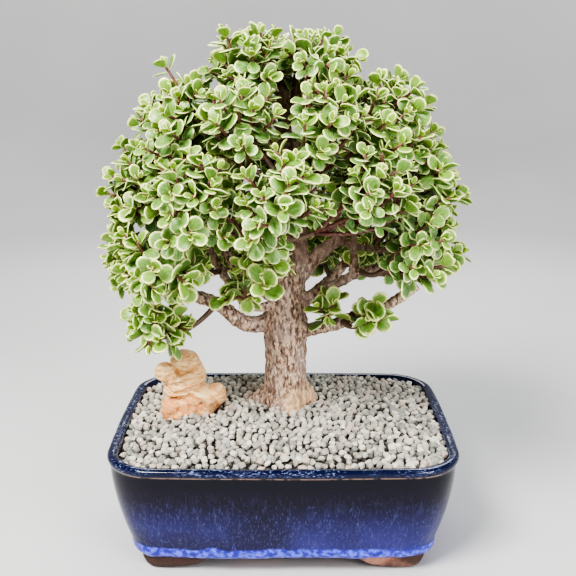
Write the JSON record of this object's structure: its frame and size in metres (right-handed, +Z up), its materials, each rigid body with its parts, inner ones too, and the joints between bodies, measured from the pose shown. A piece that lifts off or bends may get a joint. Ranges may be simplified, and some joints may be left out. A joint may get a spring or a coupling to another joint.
{
  "type": "potted bonsai tree",
  "caption": "Small-leaved succulent bonsai with a dense rounded crown, in a glazed rectangular pot on corner feet, with a gravel dressing and a layered rock.",
  "frame": {"origin": "on the ground under the middle of the pot, at the height of the feet's undersides", "axes": "+Z up; +X to the right along the pot's long side and -Y out of its front, the side on which the trunk shows"},
  "size_m": [0.2714, 0.2345, 0.3765],
  "materials": {
    "pot_glaze": "gloss",
    "screen_plastic": "matte",
    "tie_wire": "satin",
    "potting_soil": "matte",
    "gravel": "matte",
    "rock": "matte",
    "bark": "matte",
    "leaf": "satin"
  },
  "bodies": {
    "root": {"pot": "pot_glaze", "drainage_screen_left": "screen_plastic", "screen_wire_left": "tie_wire", "drainage_screen_right": "screen_plastic", "screen_wire_right": "tie_wire", "soil": "potting_soil", "gravel": "gravel", "rock": "rock", "trunk": "bark", "branch_leader": "bark", "branch_right_rising": "bark", "branch_left_low": "bark", "branch_right_low": "bark", "branch_left_upper": "bark", "branch_right_middle": "bark", "branch_back_left": "bark", "branch_back_right": "bark", "branch_front": "bark", "twig_right_upright": "bark", "twig_right_level": "bark", "foliage_skirt_01": "leaf", "foliage_skirt_02": "leaf", "foliage_skirt_03": "leaf", "foliage_skirt_04": "leaf", "foliage_skirt_05": "leaf", "foliage_skirt_06": "leaf", "foliage_skirt_07": "leaf", "foliage_skirt_08": "leaf", "foliage_middle_01": "leaf", "foliage_middle_02": "leaf", "foliage_middle_03": "leaf", "foliage_middle_04": "leaf", "foliage_middle_05": "leaf", "foliage_middle_06": "leaf", "foliage_middle_07": "leaf", "foliage_middle_08": "leaf", "foliage_middle_09": "leaf", "foliage_middle_10": "leaf", "foliage_upper_01": "leaf", "foliage_upper_02": "leaf", "foliage_upper_03": "leaf", "foliage_upper_04": "leaf", "foliage_upper_05": "leaf", "foliage_upper_06": "leaf", "foliage_upper_07": "leaf", "foliage_upper_08": "leaf", "foliage_crown_01": "leaf", "foliage_crown_02": "leaf", "foliage_crown_03": "leaf", "foliage_crown_04": "leaf", "foliage_crown_05": "leaf", "foliage_hanging_left": "leaf", "foliage_front": "leaf", "foliage_low_left": "leaf", "foliage_low_right": "leaf", "foliage_low_far_right": "leaf"}
  },
  "joints": []
}
